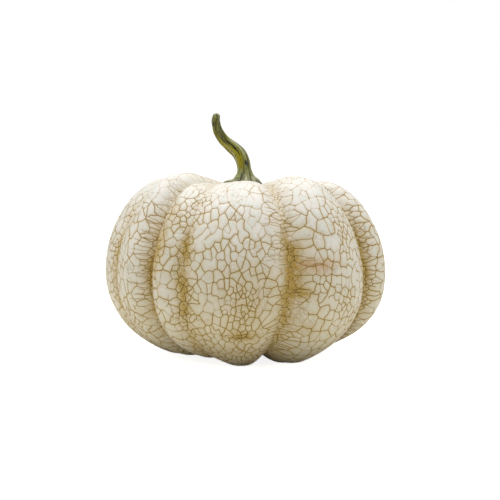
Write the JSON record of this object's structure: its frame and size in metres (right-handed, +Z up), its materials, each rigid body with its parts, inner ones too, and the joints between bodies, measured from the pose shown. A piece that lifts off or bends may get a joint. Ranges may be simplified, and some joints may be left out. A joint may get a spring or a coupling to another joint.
{
  "type": "ornamental pumpkin",
  "caption": "Squat white ribbed pumpkin with a fine tan crackle net over its skin and a slender S-curved olive stem, resting on the flat feet of its lobes.",
  "frame": {"origin": "on the ground under the middle of the pumpkin's bounding box", "axes": "+Z up through the crown, -Y towards the viewer of the picture, +X to the viewer's right"},
  "size_m": [0.1782, 0.1786, 0.1536],
  "materials": {
    "crackled_rind": "satin ivory skin crazed with a fine tan net, ochre in the furrows",
    "dried_stem": "satin olive green with pale ridges and dark grooves"
  },
  "bodies": {
    "root": {"fruit": "crackled_rind", "stem": "dried_stem"}
  },
  "joints": []
}
